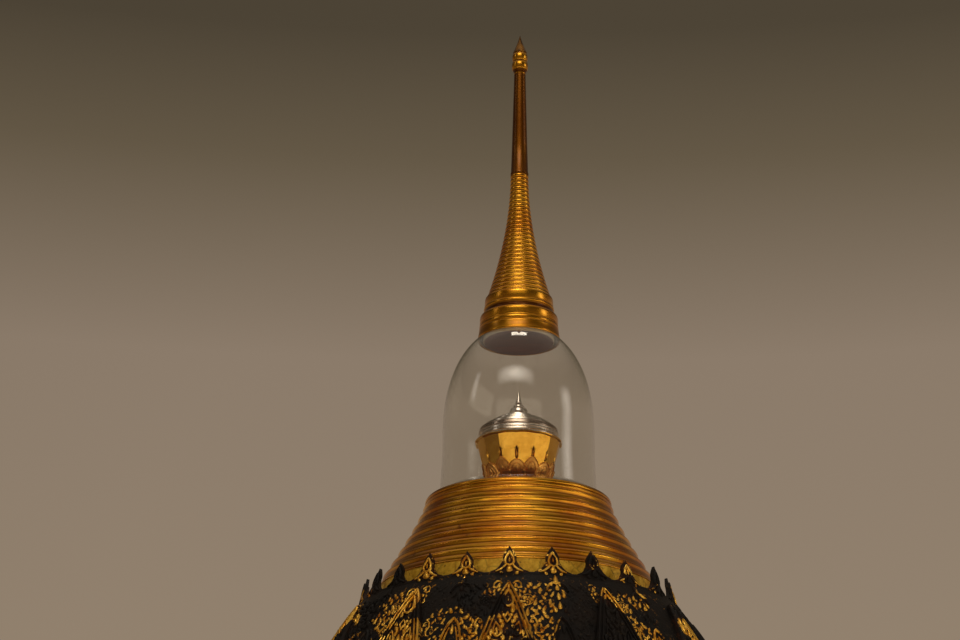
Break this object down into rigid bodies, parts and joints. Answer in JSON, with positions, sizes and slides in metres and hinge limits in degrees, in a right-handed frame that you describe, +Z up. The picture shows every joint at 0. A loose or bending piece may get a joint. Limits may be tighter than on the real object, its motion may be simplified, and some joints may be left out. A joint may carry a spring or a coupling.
{
  "type": "reliquary stupa",
  "caption": "Gilded ring-turned spire plugged into a glass dome over a lotus relic casket, on a flared gold ring stack and a black lacquered carved bell with a stepped plinth",
  "frame": {"origin": "centre of the plinth's underside, on the floor", "axes": "+Z up along the axis of the spire; -Y is the front, where one large petal and one seam of the casket face; +X to the right"},
  "size_m": [1.82, 1.82, 3.208],
  "materials": {
    "gold": "satin polished gilding on turned rings",
    "pale_gold": "matt pale gilding",
    "polished_gold": "mirror polished gold plate",
    "silver": "polished silver plate",
    "dark_bronze": "darkened gilding",
    "clear_glass": "clear blown glass",
    "dark_wood": "stained turned wood",
    "black_lacquer": "black lacquer over timber",
    "gilded_carving": "carved timber, black lacquer with worn gold leaf"
  },
  "bodies": {
    "root": {"plinth_lower": "black_lacquer", "plinth_middle": "black_lacquer", "plinth_upper": "black_lacquer", "lotus_ring": "gilded_carving", "base_ring_lower": "gold", "base_ring_middle": "gold", "base_ring_upper": "gold", "bell_lip": "gold", "bell_band": "gilded_carving", "carved_body": "black_lacquer", "main_petal_01": "gilded_carving", "main_petal_02": "gilded_carving", "main_petal_03": "gilded_carving", "main_petal_04": "gilded_carving", "main_petal_05": "gilded_carving", "main_petal_06": "gilded_carving", "main_petal_07": "gilded_carving", "main_petal_08": "gilded_carving", "main_petal_09": "gilded_carving", "main_petal_10": "gilded_carving", "main_petal_11": "gilded_carving", "main_petal_12": "gilded_carving", "crest_large_leaves": "gilded_carving", "crest_small_leaves": "gilded_carving", "collar_band": "pale_gold", "stack_ring_1": "gold", "stack_ring_2": "gold", "stack_ring_3": "gold", "stack_ring_4": "gold", "stack_ring_5": "gold", "stack_ring_6": "gold", "stack_ring_7": "gold", "dome_plate": "gold", "glass_wall": "clear_glass", "glass_crown": "clear_glass", "casket_foot": "dark_bronze", "casket_bowl": "polished_gold", "casket_lid": "silver", "casket_lid_dome": "silver", "casket_lid_finial": "silver", "spire_skirt": "gold", "spire_seat": "dark_wood", "spire_moulding": "gold", "spire_wide_ring": "gold", "spire_rings_lower": "gold", "spire_rings_upper": "gold", "spire_shaft": "gold", "finial_beads": "gold", "finial_cone": "dark_bronze"}
  },
  "joints": []
}
